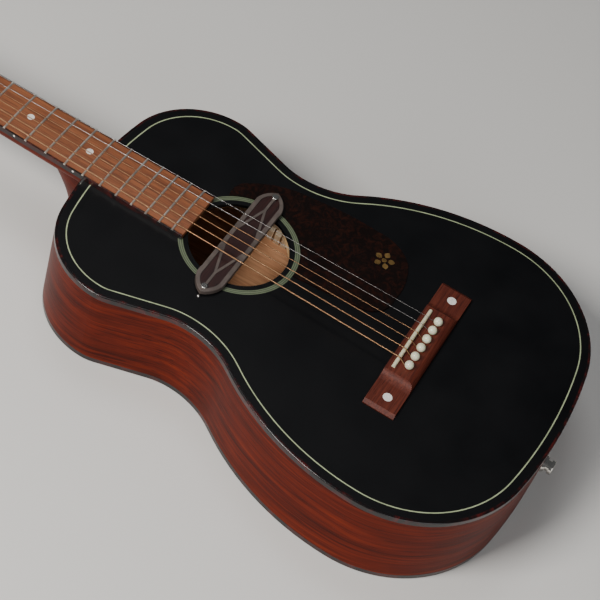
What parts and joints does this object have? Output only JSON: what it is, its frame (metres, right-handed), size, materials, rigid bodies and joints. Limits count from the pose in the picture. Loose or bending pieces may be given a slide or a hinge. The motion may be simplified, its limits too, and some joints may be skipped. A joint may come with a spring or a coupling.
{
  "type": "acoustic guitar",
  "caption": "Steel-string parlor guitar on its back: black top, mahogany sides and neck, pin bridge, pickguard, soundhole pickup, end-pin jack and geared tuning machines that turn their posts.",
  "frame": {"origin": "centre of the bounding box's bottom: on the flat back's plane, half way between the headstock tip and the end pin", "axes": "+Y along the neck to the headstock, +X to the treble side, +Z out of the top"},
  "size_m": [0.3208, 0.9284, 0.1037],
  "materials": {
    "top_lacquer": "black satin lacquer over spruce",
    "headstock_lacquer": "black lacquered veneer",
    "body_mahogany": "reddish mahogany, satin lacquer",
    "neck_mahogany": "reddish mahogany, satin lacquer",
    "tortoise_trim": "dark tortoise celluloid",
    "tortoise_guard": "dark brown tortoise sheet",
    "ivory_inlay": "greenish cream inlay",
    "spruce": "bare spruce",
    "lining_wood": "bare pale lining wood",
    "block_wood": "bare hardwood",
    "bridge_wood": "oiled reddish-brown hardwood",
    "board_wood": "oiled light brown hardwood",
    "bone": "polished bone",
    "pearl": "mother of pearl",
    "fret_wire": "polished nickel silver",
    "nickel": "polished nickel plate",
    "bolt_steel": "zinc-plated steel",
    "cover_plastic": "black plastic",
    "pickup_frame": "grey-brown moulded frame",
    "pickup_inlay_wood": "dark red-brown inlay",
    "pickup_brass": "thin brass plate",
    "plain_steel": "plain steel wire",
    "bronze_winding": "phosphor bronze winding"
  },
  "bodies": {
    "root": {"back": "body_mahogany", "back_binding": "tortoise_trim", "back_braces": "spruce", "back_centre_strip": "spruce", "back_linings": "lining_wood", "bass_side": "body_mahogany", "bridge": "bridge_wood", "bridge_pins": "bone", "bridge_plate": "block_wood", "end_pin_jack": "nickel", "end_pin_nuts": "nickel", "fingerboard": "board_wood", "fingerboard_binding": "tortoise_trim", "frets": "fret_wire", "headstock_screws": "nickel", "headstock_veneer": "headstock_lacquer", "heel_cap": "tortoise_trim", "neck": "neck_mahogany", "neck_block": "block_wood", "neck_bolts": "bolt_steel", "nut": "bone", "pearl_dots": "pearl", "pickguard": "tortoise_guard", "pickup_base": "pickup_brass", "pickup_bezel": "pickup_frame", "pickup_case": "cover_plastic", "pickup_clamps": "nickel", "pickup_inlays": "pickup_inlay_wood", "pickup_screws": "nickel", "plain_strings": "plain_steel", "post_bushings": "nickel", "rosette": "ivory_inlay", "saddle": "bone", "tail_block": "block_wood", "tail_wedge": "tortoise_trim", "tone_bars": "spruce", "top": "top_lacquer", "top_binding": "tortoise_trim", "top_linings": "lining_wood", "top_purfling": "ivory_inlay", "treble_side": "body_mahogany", "truss_rod": "bolt_steel", "truss_rod_cover": "cover_plastic", "tuner_plates": "nickel", "upper_brace": "spruce", "wound_strings": "bronze_winding", "x_brace_bass_foot": "spruce", "x_brace_treble_foot": "spruce"},
    "key_1": {"tuner_key_1": "nickel"},
    "post_1": {"tuner_post_1": "nickel"},
    "key_2": {"tuner_key_2": "nickel"},
    "post_2": {"tuner_post_2": "nickel"},
    "key_3": {"tuner_key_3": "nickel"},
    "post_3": {"tuner_post_3": "nickel"},
    "key_4": {"tuner_key_4": "nickel"},
    "post_4": {"tuner_post_4": "nickel"},
    "key_5": {"tuner_key_5": "nickel"},
    "post_5": {"tuner_post_5": "nickel"},
    "key_6": {"tuner_key_6": "nickel"},
    "post_6": {"tuner_post_6": "nickel"}
  },
  "joints": [
    {"name": "key_turn_1", "type": "hinge", "parent": "root", "child": "key_1", "pos_m": [0.023, 0.34844, 0.06095], "axis": [1, 0, 0], "continuous": true},
    {"name": "post_turn_1", "type": "hinge", "parent": "root", "child": "post_1", "pos_m": [0.023, 0.34586, 0.08035], "axis": [0, 0.2419, 0.9703], "continuous": true},
    {"name": "key_turn_2", "type": "hinge", "parent": "root", "child": "key_2", "pos_m": [0.023, 0.38725, 0.05128], "axis": [1, 0, 0], "continuous": true},
    {"name": "post_turn_2", "type": "hinge", "parent": "root", "child": "post_2", "pos_m": [0.023, 0.38467, 0.07068], "axis": [0, 0.2419, 0.9703], "continuous": true},
    {"name": "key_turn_3", "type": "hinge", "parent": "root", "child": "key_3", "pos_m": [0.023, 0.42607, 0.0416], "axis": [1, 0, 0], "continuous": true},
    {"name": "post_turn_3", "type": "hinge", "parent": "root", "child": "post_3", "pos_m": [0.023, 0.42348, 0.061], "axis": [0, 0.2419, 0.9703], "continuous": true},
    {"name": "key_turn_4", "type": "hinge", "parent": "root", "child": "key_4", "pos_m": [-0.023, 0.42607, 0.0416], "axis": [1, 0, 0], "continuous": true},
    {"name": "post_turn_4", "type": "hinge", "parent": "root", "child": "post_4", "pos_m": [-0.023, 0.42348, 0.061], "axis": [0, 0.2419, 0.9703], "continuous": true},
    {"name": "key_turn_5", "type": "hinge", "parent": "root", "child": "key_5", "pos_m": [-0.023, 0.38725, 0.05128], "axis": [1, 0, 0], "continuous": true},
    {"name": "post_turn_5", "type": "hinge", "parent": "root", "child": "post_5", "pos_m": [-0.023, 0.38467, 0.07068], "axis": [0, 0.2419, 0.9703], "continuous": true},
    {"name": "key_turn_6", "type": "hinge", "parent": "root", "child": "key_6", "pos_m": [-0.023, 0.34844, 0.06095], "axis": [1, 0, 0], "continuous": true},
    {"name": "post_turn_6", "type": "hinge", "parent": "root", "child": "post_6", "pos_m": [-0.023, 0.34586, 0.08035], "axis": [0, 0.2419, 0.9703], "continuous": true}
  ],
  "couplings": [
    {"joint": "post_turn_1", "follows": "key_turn_1", "ratio": 0.071429},
    {"joint": "post_turn_2", "follows": "key_turn_2", "ratio": 0.071429},
    {"joint": "post_turn_3", "follows": "key_turn_3", "ratio": 0.071429},
    {"joint": "post_turn_4", "follows": "key_turn_4", "ratio": 0.071429},
    {"joint": "post_turn_5", "follows": "key_turn_5", "ratio": 0.071429},
    {"joint": "post_turn_6", "follows": "key_turn_6", "ratio": 0.071429}
  ]
}
